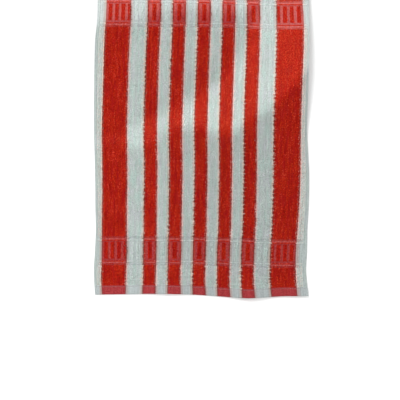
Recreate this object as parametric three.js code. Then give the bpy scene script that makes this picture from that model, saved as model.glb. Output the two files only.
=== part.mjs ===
// Striped terry hand towel, laid out face up as one thick, softly uneven sheet.
// Millimetres, +Z up. X runs across the towel and Y along it, and the hem at -Y is the near one.
// The origin is under the middle of the towel, on the surface it lies on.
//
// Places on the cloth are given by two lengths: across, from the left side, and along, from the
// near hem. One function turns them into the place where that bit of cloth lies.

import * as THREE from 'three';

// Cut size
const towelWidth = 400;
const towelLength = 610;

// Stripes, from each side towards the middle
const selvageWidth = 5;
const marginWidth = 14.2;
const wideStripe = 48;
const wideGap = 31;
const narrowStripe = 25.2;
const narrowStripes = 5;
const narrowGaps = narrowStripes - 1;
const narrowField = towelWidth - 2 * (marginWidth + wideStripe + wideGap);
const narrowGap = (narrowField - narrowStripes * narrowStripe) / narrowGaps;

// How high each kind of weave stands over the underside, which is the flat bottom of the pile
const pileHeight = 3.2;
const weaveHeight = 2.1;
const hemHeight = 2.7;
const seamHeight = 2.1;
const weaveUnderside = 0.5;
const wallWidth = 0.8; // how wide the step from one height to the next is
const edgeRound = 1.4; // how far in from its edges the sheet reaches its full height

// Lengths between grid lines where the cloth is plain
const topPitch = 12;
const undersidePitch = 17;

// The kinds of weave along the towel, from the near hem to the far one
const hemDepth = 17;
const seamInset = 2.6; // from the hem's inner edge to the middle of its seam
const seamWidth = 1.6;
const endPile = 41.6;
const bandRows = [
  { kind: 'weave', length: 2.8 },
  { kind: 'pile', length: 1.8 },
  { kind: 'weave', length: 4.1 },
  { kind: 'bars', length: 31.4 },
  { kind: 'weave', length: 1.9 },
  { kind: 'pile', length: 2.0 },
  { kind: 'weave', length: 2.8 },
];

// Across a band, each stripe shows raised bars of pile on flat weave. A row for each bar or gap of
// the stripe, from the towel's side towards its middle.
const wideBars = [
  { kind: 'weave', width: 4.6 },
  { kind: 'pile', width: 6.6 },
  { kind: 'weave', width: 5.4 },
  { kind: 'pile', width: 6.4 },
  { kind: 'weave', width: 5.0 },
  { kind: 'pile', width: 7.0 },
  { kind: 'weave', width: 5.0 },
  { kind: 'pile', width: 6.0 },
];
const wideGapBars = [
  { kind: 'weave', width: 7.0 },
  { kind: 'pile', width: 6.6 },
  { kind: 'weave', width: 5.8 },
  { kind: 'pile', width: 6.6 },
  { kind: 'weave', width: 7.0 },
];
const narrowBars = [
  { kind: 'pile', width: 2.6 },
  { kind: 'weave', width: 5.6 },
  { kind: 'pile', width: 7.0 },
  { kind: 'weave', width: 5.6 },
  { kind: 'pile', width: 2.6 },
];
const narrowGapBars = [
  { kind: 'weave', width: 8.2 },
  { kind: 'pile', width: 7.0 },
  { kind: 'weave', width: 8.2 },
];

// How far the cloth strays sideways from its straight cut, at lengths along the towel: its sides, its
// middle, and the outer and inner edges of the two wide stripes.
const strays = [
  { along: 0, left: 0.6, firstOut: -0.8, firstIn: -4.4, middle: -4.2, lastIn: -6.9, lastOut: -6.3, right: 0.4 },
  { along: 27, left: -1.2, firstOut: -2.3, firstIn: -3.3, middle: -5.0, lastIn: -9.7, lastOut: -8.3, right: -2.6 },
  { along: 50, left: -1.4, firstOut: -1.9, firstIn: -2.6, middle: -4.6, lastIn: -9.9, lastOut: -9.3, right: -4.0 },
  { along: 84, left: 0.5, firstOut: -1.4, firstIn: -2.0, middle: -3.9, lastIn: -9.1, lastOut: -8.9, right: -2.4 },
  { along: 130, left: 2.3, firstOut: -0.9, firstIn: -1.9, middle: -2.5, lastIn: -6.1, lastOut: -5.5, right: -1.6 },
  { along: 168, left: 1.4, firstOut: -0.5, firstIn: -1.6, middle: -2.0, lastIn: -4.7, lastOut: -2.8, right: 0.5 },
  { along: 233, left: 0.4, firstOut: -0.2, firstIn: -0.7, middle: -0.9, lastIn: -3.4, lastOut: -0.2, right: 1.2 },
  { along: 308, left: -1.4, firstOut: -0.9, firstIn: -1.7, middle: -1.4, lastIn: -3.3, lastOut: 0.3, right: -2.2 },
  { along: 384, left: -1.3, firstOut: 1.1, firstIn: 0.2, middle: 0.6, lastIn: -1.4, lastOut: 2.0, right: -0.8 },
  { along: 440, left: -0.6, firstOut: 2.5, firstIn: 1.9, middle: 2.5, lastIn: 0.9, lastOut: 4.2, right: 0.6 },
  { along: 477, left: 0.9, firstOut: 4.0, firstIn: 3.8, middle: 3.9, lastIn: 1.9, lastOut: 5.6, right: 1.4 },
  { along: 514, left: 4.6, firstOut: 6.5, firstIn: 5.9, middle: 5.0, lastIn: 2.4, lastOut: 5.7, right: 1.4 },
  { along: 552, left: 5.6, firstOut: 8.0, firstIn: 6.4, middle: 5.4, lastIn: 2.0, lastOut: 3.7, right: 1.2 },
  { along: 610, left: 3.0, firstOut: 6.0, firstIn: 5.2, middle: 4.3, lastIn: 1.1, lastOut: 2.7, right: 0.2 },
];
const strayLines = [
  { name: 'left', across: 0 },
  { name: 'firstOut', across: marginWidth },
  { name: 'firstIn', across: marginWidth + wideStripe },
  { name: 'middle', across: towelWidth / 2 },
  { name: 'lastIn', across: towelWidth - marginWidth - wideStripe },
  { name: 'lastOut', across: towelWidth - marginWidth },
  { name: 'right', across: towelWidth },
];

// How far the crossways threads sag towards the near end, at lengths across the towel: at the near
// hem, and past hemReach in the rest of the cloth.
const hemReach = 70;
const sags = [
  { across: 0, atHem: 0.4, beyond: 0.0 },
  { across: 70, atHem: -0.4, beyond: 0.0 },
  { across: 124, atHem: -1.0, beyond: 0.1 },
  { across: 195, atHem: 0.9, beyond: 0.7 },
  { across: 242, atHem: 4.1, beyond: 1.5 },
  { across: 290, atHem: 7.0, beyond: 3.8 },
  { across: 320, atHem: 5.9, beyond: 4.7 },
  { across: 356, atHem: 3.6, beyond: 5.4 },
  { across: 400, atHem: 3.0, beyond: 5.2 },
];

// Soft folds, where the cloth is lifted off the surface. A crest runs from its start past its bend to
// its end, and rises as far as stated at each. The cloth comes down to the surface within the reach on
// the crest's left and on its right, as one looks from its start to its end.
const folds = [
  { // the long slope across the right half of the towel
    start: { x: -29, y: -5, rise: 2.6, left: 58, right: 30 },
    bend: { x: 84, y: -54 },
    end: { x: 218, y: 142, rise: 15.0, left: 160, right: 80 },
  },
  { // its low beginning, left of the middle
    start: { x: -158, y: -41, rise: 3.2, left: 40, right: 26 },
    bend: { x: -96, y: -38 },
    end: { x: -12, y: 12, rise: 2.4, left: 46, right: 30 },
  },
  { // the swell under the right-hand wide stripe
    start: { x: 152, y: 42, rise: 3.4, left: 60, right: 58 },
    bend: { x: 168, y: -70 },
    end: { x: 136, y: -214, rise: 2.8, left: 52, right: 66 },
  },
  { // the hem's largest wave, right of the middle
    start: { x: 92, y: -318, rise: 6.0, left: 40, right: 46 },
    bend: { x: 88, y: -270 },
    end: { x: 66, y: -226, rise: 1.6, left: 26, right: 30 },
  },
  { // the near right corner
    start: { x: 182, y: -316, rise: 3.4, left: 30, right: 30 },
    bend: { x: 166, y: -286 },
    end: { x: 158, y: -262, rise: 1.2, left: 24, right: 26 },
  },
  { // the hem's small wave, left of the middle
    start: { x: -64, y: -316, rise: 3.2, left: 34, right: 30 },
    bend: { x: -60, y: -284 },
    end: { x: -72, y: -252, rise: 0.8, left: 22, right: 22 },
  },
  { // the ripple that draws in the left side
    start: { x: -208, y: -150, rise: 4.2, left: 24, right: 28 },
    bend: { x: -182, y: -146 },
    end: { x: -158, y: -160, rise: 0.8, left: 18, right: 20 },
  },
  { // the low crest that runs under the far band
    start: { x: -214, y: 196, rise: 4.4, left: 75, right: 70 },
    bend: { x: -80, y: 246 },
    end: { x: 90, y: 234, rise: 2.0, left: 70, right: 60 },
  },
];
const crestRound = 12; // length over which a crest is rounded
const footRound = 13; // length over which a slope runs out into the flat
const crestSteps = 16; // straight pieces that a crest is measured along

// Colours of the two yarns, as pile and as the flatter, paler weave
const redPile = new THREE.Color('#a52314');
const redWeave = new THREE.Color('#b4413d');
const whitePile = new THREE.Color('#b9c2be');
const whiteWeave = new THREE.Color('#c3cac8');
const clothRoughness = 0.95;

const halfWall = wallWidth / 2;

// Gives each of a row of neighbours its start and end.
function inLine(pieces, size, from = 0) {
  let start = from;
  return pieces.map((piece) => {
    const placed = { ...piece, start, end: start + piece[size] };
    start = placed.end;
    return placed;
  });
}

// The stripes from left to right, each with its colour and its bars.
function listStripes() {
  const margin = { red: false, width: marginWidth, bars: [{ kind: 'weave', width: marginWidth }] };
  const wideRed = { red: true, width: wideStripe, bars: wideBars };
  const wideWhite = { red: false, width: wideGap, bars: wideGapBars };
  const narrow = Array.from({ length: narrowStripes + narrowGaps }, (unused, number) => {
    const red = number % 2 === 0;
    return red
      ? { red, width: narrowStripe, bars: narrowBars }
      : { red, width: narrowGap, bars: narrowGapBars };
  });
  const mirrored = (stripe) => ({ ...stripe, bars: [...stripe.bars].reverse() });
  const side = [margin, wideRed, wideWhite];
  const stripes = inLine([...side, ...narrow, ...side.map(mirrored).reverse()], 'width');
  return stripes.map((stripe) => {
    const barsWidth = stripe.bars.reduce((sum, bar) => sum + bar.width, 0);
    const fitted = stripe.bars.map((bar) => ({ ...bar, width: (bar.width * stripe.width) / barsWidth }));
    return { ...stripe, bars: inLine(fitted, 'width', stripe.start) };
  });
}

// The kinds of weave from the near end to the far one.
function listZones() {
  const hemParts = [
    { kind: 'hem', length: hemDepth - seamInset - seamWidth / 2 },
    { kind: 'seam', length: seamWidth },
    { kind: 'hem', length: seamInset - seamWidth / 2 },
  ];
  const end = [...hemParts, { kind: 'pile', length: endPile }];
  const middle = { kind: 'pile', length: towelLength - 2 * (hemDepth + endPile + bandLength) };
  return inLine([...end, ...bandRows, middle, ...bandRows, ...[...end].reverse()], 'length');
}

const bandLength = bandRows.reduce((sum, row) => sum + row.length, 0);
const bandStarts = [hemDepth + endPile, towelLength - hemDepth - endPile - bandLength];
const stripes = listStripes();
const zones = listZones();
const heights = { pile: pileHeight, weave: weaveHeight, hem: hemHeight, seam: seamHeight };

// Smooth reading of a table between its rows.
function smoothTable(table, place, columns) {
  const places = table.map((row) => row[place]);
  const values = table.flatMap((row) => columns.map((column) => row[column]));
  const curve = new THREE.CubicInterpolant(places, values, columns.length);
  return (position) => [...curve.evaluate(position)];
}

const straysAt = smoothTable(strays, 'along', strayLines.map(({ name }) => name));
const sagsAt = smoothTable(sags, 'across', ['atHem', 'beyond']);

// Nought below -soft, the value itself above soft, and a curve between.
function softRamp(value, soft) {
  if (value <= -soft) return 0;
  if (value >= soft) return value;
  return (value + soft) ** 2 / (4 * soft);
}

// A fold's crest as straight pieces.
function crestPieces({ start, bend, end }) {
  const [from, over, to] = [start, bend, end].map(({ x, y }) => new THREE.Vector3(x, y, 0));
  const spots = new THREE.QuadraticBezierCurve3(from, over, to).getPoints(crestSteps);
  return spots.slice(1).map((spot, step) => new THREE.Line3(spots[step], spot));
}

const crests = folds.map(crestPieces);

// How far one fold lifts the cloth at a place on the surface.
function foldLift({ start, end }, crest, place) {
  let nearest = { distance: Infinity };
  crest.forEach((piece, step) => {
    const share = piece.closestPointToPointParameter(place, true);
    const away = place.clone().sub(piece.at(share, new THREE.Vector3()));
    const distance = away.length();
    if (distance < nearest.distance) {
      nearest = { distance, away, piece, share: (step + share) / crestSteps };
    }
  });
  const { distance, away, piece, share } = nearest;
  const heading = piece.delta(new THREE.Vector3()).normalize();
  const side = distance > 0 ? heading.cross(away).z / distance : 0; // 1 on the left, -1 on the right
  const stated = (column) => THREE.MathUtils.lerp(start[column], end[column], share);
  const reach = THREE.MathUtils.lerp(stated('right'), stated('left'), (1 + side) / 2);
  const fromCrest = Math.hypot(distance, crestRound) - crestRound;
  return stated('rise') * softRamp(1 - fromCrest / reach, footRound / reach);
}

function liftAt(x, y) {
  const place = new THREE.Vector3(x, y, 0);
  return folds.reduce((sum, fold, number) => sum + foldLift(fold, crests[number], place), 0);
}

// Where a bit of cloth lies, seen from above.
function placeAt(across, along) {
  const next = Math.max(1, strayLines.findIndex((line) => across <= line.across));
  const [from, to] = [strayLines[next - 1], strayLines[next]];
  const share = (across - from.across) / (to.across - from.across);
  const [fromStray, toStray] = straysAt(along).slice(next - 1, next + 1);
  const stray = THREE.MathUtils.lerp(fromStray, toStray, share);
  const [atHem, beyond] = sagsAt(across);
  const sag = THREE.MathUtils.lerp(atHem, beyond, THREE.MathUtils.smoothstep(along, 0, hemReach));
  return { x: across - towelWidth / 2 + stray, y: along - towelLength / 2 - sag };
}

function fromRight({ across, height }) {
  return { across: towelWidth - across, height };
}

// The lengths from start to end in equal steps of about one pitch.
function steps(start, end, pitch) {
  const count = Math.max(1, Math.round((end - start) / pitch));
  return Array.from({ length: count + 1 }, (unused, step) => start + ((end - start) * step) / count);
}

// Grid lines along the towel, where every stripe has one height. Beside pile, a selvage is flat weave.
function plainColumns(kind) {
  const height = heights[kind];
  const selvage = kind === 'pile' ? weaveHeight : height;
  const side = [
    { across: 0, height: selvage / 2 },
    { across: edgeRound, height: selvage },
    { across: selvageWidth - halfWall, height: selvage },
    { across: selvageWidth + halfWall, height },
  ];
  const inner = stripes.slice(1, -1).flatMap(({ start, end }) => steps(start, end, topPitch).slice(1));
  const middle = [marginWidth, ...inner].map((across) => ({ across, height }));
  return [...side, ...middle, ...side.map(fromRight).reverse()];
}

// Grid lines along the towel, where the band's bars stand up.
function barColumns() {
  const side = [
    { across: 0, height: weaveHeight / 2 },
    { across: edgeRound, height: weaveHeight },
  ];
  const bars = stripes.slice(1, -1).flatMap((stripe) => stripe.bars);
  const middle = bars.flatMap(({ kind, start, end }) => [
    { across: start + halfWall, height: heights[kind] },
    { across: end - halfWall, height: heights[kind] },
  ]);
  return [...side, ...middle, ...side.map(fromRight).reverse()];
}

const points = [];
const corners = []; // three numbers in points for each triangle

function addPoint(across, along, height) {
  const { x, y } = placeAt(across, along);
  points.push({ across, along, x, y, z: liftAt(x, y) + height });
  return points.length - 1;
}

// Joins two lines of points that run the same way. The strip faces up where the second line lies on
// the left of the first, and down where faceDown is set.
function joinLines(first, second, measure, faceDown = false) {
  const middle = (line, at) => points[line[at]][measure] + points[line[at + 1]][measure];
  let a = 0;
  let b = 0;
  while (a < first.length - 1 || b < second.length - 1) {
    const firstDone = a === first.length - 1;
    const stepFirst = !firstDone && (b === second.length - 1 || middle(first, a) <= middle(second, b));
    const corner = stepFirst ? first[a + 1] : second[b + 1];
    const triangle = [first[a], corner, second[b]];
    corners.push(...(faceDown ? triangle.reverse() : triangle));
    if (stepFirst) a += 1;
    else b += 1;
  }
}

// The upper face: a line of points across the towel at each grid length.
function layUpperFace() {
  const lines = [];
  const addLine = (along, columns, share = 1) => {
    lines.push(columns.map(({ across, height }) => addPoint(across, along, height * share)));
  };
  const hemColumns = plainColumns('hem');
  addLine(0, hemColumns, 0.5);
  for (const { kind, start, end } of zones) {
    const columns = kind === 'bars' ? barColumns() : plainColumns(kind);
    const from = Math.max(start + halfWall, edgeRound);
    const to = Math.min(end - halfWall, towelLength - edgeRound);
    for (const along of steps(from, to, topPitch)) addLine(along, columns);
  }
  addLine(towelLength, hemColumns, 0.5);
  for (let line = 1; line < lines.length; line += 1) joinLines(lines[line - 1], lines[line], 'across');
  return lines;
}

// The underside lies flat on the surface but for the folds, and a little higher under the bands.
function layUnderside() {
  const columns = steps(edgeRound, towelWidth - edgeRound, undersidePitch);
  const lines = [];
  const addLines = (from, to, height) => {
    for (const along of steps(from, to, undersidePitch)) {
      lines.push(columns.map((across) => addPoint(across, along, height)));
    }
  };
  let from = edgeRound;
  for (const start of bandStarts) {
    addLines(from, start - halfWall, 0);
    addLines(start + halfWall, start + bandLength - halfWall, weaveUnderside);
    from = start + bandLength + halfWall;
  }
  addLines(from, towelLength - edgeRound, 0);
  for (let line = 1; line < lines.length; line += 1) {
    joinLines(lines[line - 1], lines[line], 'across', true);
  }
  return lines;
}

// The rounded edge between the two faces, side by side.
function closeEdges(upper, under) {
  const firstOf = (lines) => lines.map((line) => line[0]);
  const lastOf = (lines) => lines.map((line) => line[line.length - 1]);
  joinLines(upper[0], under[0], 'across', true);
  joinLines(upper[upper.length - 1], under[under.length - 1], 'across');
  joinLines(firstOf(upper), firstOf(under), 'along');
  joinLines(lastOf(upper), lastOf(under), 'along', true);
}

// The colour of the yarn and weave at a place on the cloth.
function colourAt(across, along) {
  const pieceAt = (pieces, place) => pieces.find(({ end }) => place < end) ?? pieces.at(-1);
  const stripe = pieceAt(stripes, across);
  const zone = pieceAt(zones, along);
  const inSelvage = across < selvageWidth || across > towelWidth - selvageWidth;
  const kind = zone.kind === 'bars' ? pieceAt(stripe.bars, across).kind : zone.kind;
  if (kind === 'pile' && !inSelvage) return stripe.red ? redPile : whitePile;
  return stripe.red ? redWeave : whiteWeave;
}

function buildTowel() {
  closeEdges(layUpperFace(), layUnderside());
  const places = [];
  const colours = [];
  for (let corner = 0; corner < corners.length; corner += 3) {
    const triangle = corners.slice(corner, corner + 3).map((number) => points[number]);
    const mean = (measure) => triangle.reduce((sum, point) => sum + point[measure], 0) / 3;
    const colour = colourAt(mean('across'), mean('along'));
    for (const { x, y, z } of triangle) {
      places.push(x, y, z);
      colours.push(colour.r, colour.g, colour.b);
    }
  }
  const geometry = new THREE.BufferGeometry();
  geometry.setAttribute('position', new THREE.Float32BufferAttribute(places, 3));
  geometry.setAttribute('color', new THREE.Float32BufferAttribute(colours, 3));
  geometry.computeBoundingBox();
  const middle = geometry.boundingBox.getCenter(new THREE.Vector3());
  geometry.translate(-middle.x, -middle.y, -geometry.boundingBox.min.z);
  geometry.computeVertexNormals();
  const cloth = new THREE.MeshStandardMaterial({
    vertexColors: true,
    roughness: clothRoughness,
    metalness: 0,
  });
  const towel = new THREE.Mesh(geometry, cloth);
  towel.name = 'towel';
  return towel;
}

const group = new THREE.Group();
group.add(buildTowel());

export default group;
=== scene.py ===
import math

import bpy
import numpy as np
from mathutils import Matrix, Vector


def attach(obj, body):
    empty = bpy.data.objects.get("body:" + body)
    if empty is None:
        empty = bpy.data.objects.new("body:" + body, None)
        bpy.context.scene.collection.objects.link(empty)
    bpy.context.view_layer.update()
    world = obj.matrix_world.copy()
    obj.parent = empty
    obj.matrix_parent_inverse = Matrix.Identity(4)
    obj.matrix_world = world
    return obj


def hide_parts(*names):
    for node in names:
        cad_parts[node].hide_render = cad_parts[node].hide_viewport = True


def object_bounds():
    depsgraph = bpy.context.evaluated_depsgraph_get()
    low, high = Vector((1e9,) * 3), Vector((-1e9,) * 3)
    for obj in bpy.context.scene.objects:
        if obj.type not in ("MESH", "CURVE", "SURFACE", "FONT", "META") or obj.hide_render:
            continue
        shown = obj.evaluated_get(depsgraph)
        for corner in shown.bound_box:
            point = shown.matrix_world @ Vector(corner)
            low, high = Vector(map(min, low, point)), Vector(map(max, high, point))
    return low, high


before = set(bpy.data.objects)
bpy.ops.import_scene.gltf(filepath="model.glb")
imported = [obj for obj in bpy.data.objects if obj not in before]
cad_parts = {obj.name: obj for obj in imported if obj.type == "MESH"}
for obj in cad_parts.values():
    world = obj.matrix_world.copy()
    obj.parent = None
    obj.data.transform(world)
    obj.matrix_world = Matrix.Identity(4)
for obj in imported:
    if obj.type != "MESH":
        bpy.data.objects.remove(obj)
cadLow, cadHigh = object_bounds()
bpy.ops.object.select_all(action="DESELECT")
print("CAD frame loaded")

mm = 0.001
chance = np.random.default_rng(4)
lightFrom = (-0.64, 0.76)  # the lamp's side, seen from above
farAway = 99.0  # in place of the distance to a neighbour, where there is none


# The cloth as it was woven and cut, in millimetres: across from its left side, along from its near hem.
cloth = {
    "width": 400.0,
    "length": 610.0,
    "selvage": 5.0,
    # white and red in turn, with white along both sides
    "stripes": [14.2, 48.0, 31.0] + [25.2, 21.9] * 4 + [25.2, 31.0, 48.0, 14.2],
    "ground": 2.1,  # height of the flat weave, which the pile stands on
    "hem": 2.7,
    "seam": 2.1,
    "underBand": 0.5,  # height of a band's underside, which has no pile either
    "edgeRound": 1.4,
    "hemDepth": 17.0,
    "seamAt": 14.4,
    "seamWidth": 1.6,
    "endPile": 41.6,
    "thinPile": 3.6,  # beside each band, where the loops are sparse
    "bandRows": [
        ("line", 2.8),
        ("pile", 1.8),
        ("weave", 4.1),
        ("bars", 31.4),
        ("weave", 1.9),
        ("pile", 2.0),
        ("line", 2.8),
    ],
    "wideBars": [4.6, 6.6, 5.4, 6.4, 5.0, 7.0, 5.0, 6.0],  # weave and pile in turn, from the side inwards
    "wideGapBars": [7.0, 6.6, 5.8, 6.6, 7.0],
    "narrowBars": [0.0, 2.6, 5.6, 7.0, 5.6, 2.6],
    "narrowGapBars": [8.2, 7.0, 8.2],
    "pitch": 3.0,  # between the lines of the mesh
    "rimLines": [0.3, 0.8],  # more lines, where the sides are rounded
    "step": 0.4,  # and on both sides of a place where the height changes
}

# How it lies, also in millimetres: sideways strays, sagging threads and soft folds.
lie = {
    "strayLines": [0, 14.2, 62.2, 200, 337.8, 385.8, 400],
    "strays": [  # along, then the sideways stray at each of those lines
        (0, 0.6, -0.8, -4.4, -4.2, -6.9, -6.3, 0.4),
        (27, -1.2, -2.3, -3.3, -5.0, -9.7, -8.3, -2.6),
        (50, -1.4, -1.9, -2.6, -4.6, -9.9, -9.3, -4.0),
        (84, 0.5, -1.4, -2.0, -3.9, -9.1, -8.9, -2.4),
        (130, 2.3, -0.9, -1.9, -2.5, -6.1, -5.5, -1.6),
        (168, 1.4, -0.5, -1.6, -2.0, -4.7, -2.8, 0.5),
        (233, 0.4, -0.2, -0.7, -0.9, -3.4, -0.2, 1.2),
        (308, -1.4, -0.9, -1.7, -1.4, -3.3, 0.3, -2.2),
        (384, -1.3, 1.1, 0.2, 0.6, -1.4, 2.0, -0.8),
        (440, -0.6, 2.5, 1.9, 2.5, 0.9, 4.2, 0.6),
        (477, 0.9, 4.0, 3.8, 3.9, 1.9, 5.6, 1.4),
        (514, 4.6, 6.5, 5.9, 5.0, 2.4, 5.7, 1.4),
        (552, 5.6, 8.0, 6.4, 5.4, 2.0, 3.7, 1.2),
        (610, 3.0, 6.0, 5.2, 4.3, 1.1, 2.7, 0.2),
    ],
    "hemReach": 70.0,
    "sags": [  # across, then the sag at the near hem and past hemReach
        (0, 0.4, 0.0),
        (70, -0.4, 0.0),
        (124, -1.0, 0.1),
        (195, 0.9, 0.7),
        (242, 4.1, 1.5),
        (290, 7.0, 3.8),
        (320, 5.9, 4.7),
        (356, 3.6, 5.4),
        (400, 3.0, 5.2),
    ],
    "folds": [  # a crest's start, bend and end, and at both ends its rise and its reach to left and right
        ((-29, -5), (84, -54), (218, 142), (2.6, 58, 30), (15.0, 160, 80)),
        ((-158, -41), (-96, -38), (-12, 12), (3.2, 40, 26), (2.4, 46, 30)),
        ((152, 42), (168, -70), (136, -214), (3.4, 60, 58), (2.8, 52, 66)),
        ((92, -318), (88, -270), (66, -226), (6.0, 40, 46), (1.6, 26, 30)),
        ((182, -316), (166, -286), (158, -262), (3.4, 30, 30), (1.2, 24, 26)),
        ((-64, -316), (-60, -284), (-72, -252), (3.2, 34, 30), (0.8, 22, 22)),
        ((-208, -150), (-182, -146), (-158, -160), (4.2, 24, 28), (0.8, 18, 20)),
        ((-214, 196), (-80, 246), (90, 234), (4.4, 75, 70), (2.0, 70, 60)),
    ],
    "crestRound": 12.0,
    "footRound": 13.0,
    "crestSteps": 16,
}


# from 0 at the start to 1 where it is full
def between(value, start, full):
    t = np.clip((value - start) / (full - start), 0, 1)
    return t * t * (3 - 2 * t)


# a smooth curve through one column of a table
def smoothRead(rows, column, place):
    at, value = np.array(rows, float)[:, [0, column]].T
    chord = np.diff(value) / np.diff(at)
    slope = np.concatenate([chord[:1], (chord[1:] + chord[:-1]) / 2, chord[-1:]])
    place = np.clip(place, at[0], at[-1])
    k = np.clip(np.searchsorted(at, place, side="right") - 1, 0, len(at) - 2)
    gap = at[k + 1] - at[k]
    t = (place - at[k]) / gap
    ends = value[k] * (1 + 2 * t) * (1 - t) ** 2 + value[k + 1] * t**2 * (3 - 2 * t)
    return ends + gap * t * (1 - t) * (slope[k] * (1 - t) - slope[k + 1] * t)


# where a place of the cut cloth lies, seen from above
def placeOf(across, along):
    lines = np.array(lie["strayLines"], float)
    strays = np.stack([smoothRead(lie["strays"], 1 + n, along) for n in range(len(lines))])
    n = np.clip(np.searchsorted(lines, across), 1, len(lines) - 1)
    share = (across - lines[n - 1]) / (lines[n] - lines[n - 1])
    each = np.arange(len(across))
    stray = strays[n - 1, each] * (1 - share) + strays[n, each] * share
    past = between(along, 0, lie["hemReach"])
    sag = smoothRead(lie["sags"], 1, across) * (1 - past) + smoothRead(lie["sags"], 2, across) * past
    return across - cloth["width"] / 2 + stray, along - cloth["length"] / 2 - sag


def foldLift(fold, x, y):
    start, bend, end, atStart, atEnd = (np.array(part, float) for part in fold)
    t = np.linspace(0, 1, lie["crestSteps"] + 1)[:, None]
    crest = (1 - t) ** 2 * start + 2 * t * (1 - t) * bend + t**2 * end
    run = np.diff(crest, axis=0)
    away = np.stack([x, y], 1)[:, None] - crest[:-1]
    t = np.clip((away * run).sum(2) / (run**2).sum(1), 0, 1)
    away -= t[..., None] * run
    distance = np.hypot(away[..., 0], away[..., 1])
    n = distance.argmin(1)
    each = np.arange(len(x))
    distance, away, run = distance[each, n], away[each, n], run[n]
    side = (run[:, 0] * away[:, 1] - run[:, 1] * away[:, 0]) / np.hypot(run[:, 0], run[:, 1])
    side /= np.maximum(distance, 1e-9)  # 1 on the crest's left and -1 on its right
    share = ((n + t[each, n]) / lie["crestSteps"])[:, None]
    rise, left, right = (atStart * (1 - share) + atEnd * share).T
    reach = right + (left - right) * (1 + side) / 2
    down = 1 - (np.hypot(distance, lie["crestRound"]) - lie["crestRound"]) / reach
    soft = lie["footRound"] / reach
    ramp = np.where(down >= soft, down, np.maximum(down + soft, 0) ** 2 / (4 * soft))
    return rise * ramp


def liftOf(x, y):
    return sum(foldLift(fold, x, y) for fold in lie["folds"])


def slopeOf(x, y, step=2.0):
    return (
        (liftOf(x + step, y) - liftOf(x - step, y)) / (2 * step),
        (liftOf(x, y + step) - liftOf(x, y - step)) / (2 * step),
    )


def setInLine(lengths, start=0.0):
    ends = start + np.cumsum(lengths)
    return list(zip(ends - lengths, ends))


bandLength = sum(length for kind, length in cloth["bandRows"])
bandStarts = [
    cloth["hemDepth"] + cloth["endPile"],
    cloth["length"] - cloth["hemDepth"] - cloth["endPile"] - bandLength,
]
stripes = setInLine(cloth["stripes"])

# every zone along the towel, from the near hem to the far one
zones = [("hem", 0.0), ("pile", cloth["hemDepth"])]
for bandStart in bandStarts:
    rows = setInLine([length for kind, length in cloth["bandRows"]], bandStart)
    zones.append(("thin", bandStart - cloth["thinPile"]))
    zones += [(kind, near) for (kind, length), (near, far) in zip(cloth["bandRows"], rows)]
    zones += [("thin", bandStart + bandLength), ("pile", bandStart + bandLength + cloth["thinPile"])]
zones.append(("hem", cloth["length"] - cloth["hemDepth"]))


def stretchesOf(wanted):
    ends = [start for kind, start in zones[1:]] + [cloth["length"]]
    return [(start, end) for (kind, start), end in zip(zones, ends) if kind == wanted]


# the bars of pile that cross a band on one stripe
def barsOf(number):
    last = len(stripes) - 1
    kinds = {1: "wideBars", 2: "wideGapBars"}
    kind = kinds.get(min(number, last - number), "narrowBars" if number % 2 else "narrowGapBars")
    widths = np.array(cloth[kind])
    start, end = stripes[number]
    widths = widths * (end - start) / widths.sum()
    bars = setInLine(widths, start)[1::2]
    if number > last / 2:  # the right half mirrors the left
        bars = [(start + end - b, start + end - a) for a, b in bars][::-1]
    return bars


def addNode(tree, kind, inputs=None, **settings):
    node = tree.nodes.new("ShaderNode" + kind)
    for name, value in settings.items():
        setattr(node, name, value)
    for name, value in (inputs or {}).items():
        if isinstance(value, bpy.types.NodeSocket):
            tree.links.new(value, node.inputs[name])
        else:
            node.inputs[name].default_value = value
    return node


def calc(tree, operation, *values):
    return addNode(tree, "Math", dict(enumerate(values)), operation=operation).outputs[0]


def fade(tree, value, low, high):
    return addNode(tree, "MapRange", {0: value, 1: low, 2: high}, interpolation_type="SMOOTHSTEP").outputs[0]


def mixValues(tree, share, first, second):
    return addNode(tree, "Mix", {0: share, 2: first, 3: second}, data_type="FLOAT").outputs[0]


def mixColours(tree, share, first, second):
    return addNode(tree, "Mix", {0: share, 6: first, 7: second}, data_type="RGBA").outputs[2]


def striped(tree, isRed, colours):
    return mixColours(tree, isRed, colours["white"], colours["red"])


def toned(tree, colour, tone):
    if isinstance(colour, tuple):
        colour = colour[:3]
    return addNode(tree, "VectorMath", {0: colour, "Scale": tone}, operation="SCALE").outputs[0]


def readTone(tree, name):
    return addNode(tree, "Attribute", attribute_name=name).outputs[2]


def newMaterial(name):
    material = bpy.data.materials.new(name)
    material.use_nodes = True
    material.node_tree.nodes.clear()
    return material, material.node_tree


def finishMaterial(tree, colour, bump, roughness, finish):
    shader = addNode(tree, "BsdfPrincipled", {"Base Color": colour, "Roughness": roughness})
    shader.inputs["Specular IOR Level"].default_value = finish["shine"]
    shader.inputs["Sheen Weight"].default_value = finish["sheen"]
    shader.inputs["Sheen Roughness"].default_value = finish["sheenRoughness"]
    shader.inputs["Sheen Tint"].default_value = finish["sheenTint"]
    if bump is not None:
        tree.links.new(bump, shader.inputs["Normal"])
    output = addNode(tree, "OutputMaterial")
    tree.links.new(shader.outputs[0], output.inputs[0])


# places on the cut cloth, in millimetres
def clothPlace(tree):
    mapped = addNode(tree, "UVMap", uv_map="clothMap").outputs[0]
    place = addNode(tree, "VectorMath", {0: mapped, 1: (1 / mm, 1 / mm, 1)}, operation="MULTIPLY").outputs[0]
    apart = addNode(tree, "SeparateXYZ", {0: place})
    return place, apart.outputs[0], apart.outputs[1]


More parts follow.
